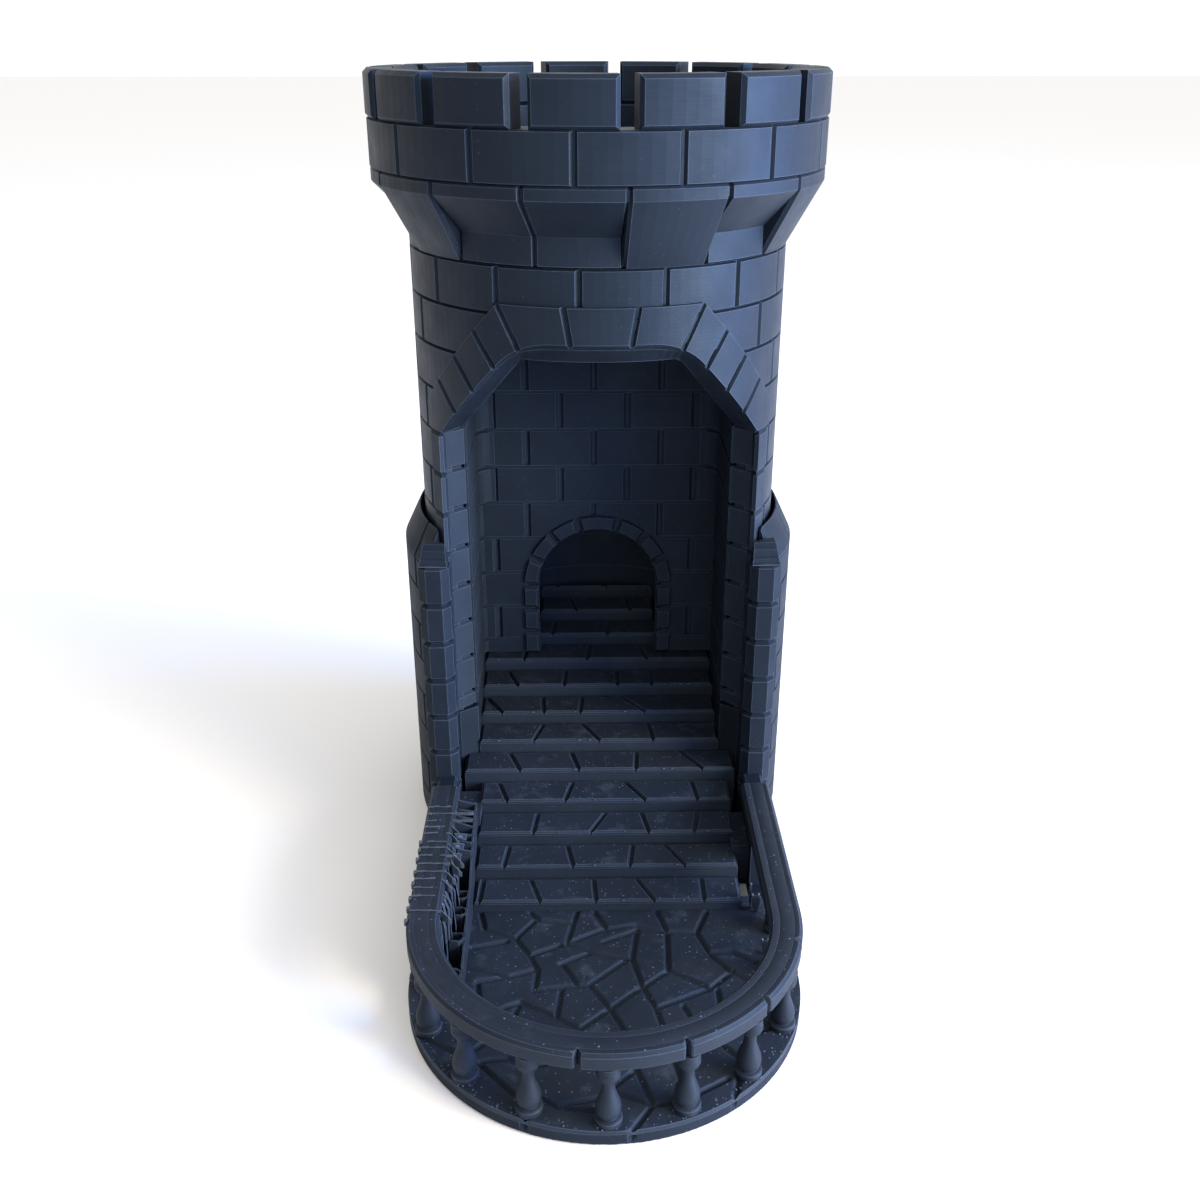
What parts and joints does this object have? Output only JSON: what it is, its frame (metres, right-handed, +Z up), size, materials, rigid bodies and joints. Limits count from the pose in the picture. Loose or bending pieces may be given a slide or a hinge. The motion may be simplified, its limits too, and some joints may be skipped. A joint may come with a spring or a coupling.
{
  "type": "dice tower",
  "caption": "Round castle dice tower: a crenellated tower that drops into a collared base with a stair and a railed balcony.",
  "frame": {"origin": "on the tower's axis, at the underside of the base", "axes": "+Z up along the tower's axis, -Y out of the front opening towards the balcony, +X to the right of someone facing the front"},
  "size_m": [0.1063, 0.1868, 0.19],
  "materials": {
    "base_print": "matte printed plastic with fine layer lines",
    "tower_print": "matte printed plastic with fine layer lines"
  },
  "bodies": {
    "base": {"base_plate": "base_print", "flagstones": "base_print", "stair_flight": "base_print", "stair_treads": "base_print", "tower_seat": "base_print", "collar_wall": "base_print", "collar_coping": "base_print", "right_pillar": "base_print", "left_pillar": "base_print", "balcony_rail": "base_print", "balusters": "base_print", "right_curb_wall": "base_print", "left_curb_wall": "base_print", "right_newel": "base_print", "left_newel": "base_print"},
    "tower": {"tower_wall": "tower_print", "arch_stones": "tower_print", "right_quoins": "tower_print", "left_quoins": "tower_print", "right_alcove_wall": "tower_print", "left_alcove_wall": "tower_print", "alcove_vault": "tower_print", "alcove_back_wall": "tower_print", "doorway_stones": "tower_print", "hopper_ramp": "tower_print", "crown_wall": "tower_print", "corbels": "tower_print", "ring_course": "tower_print", "merlons": "tower_print"}
  },
  "joints": [
    {"name": "tower_lift", "type": "slide", "parent": "base", "child": "tower", "axis": [0, 0, 1], "range_m": [0, 0.06]}
  ]
}
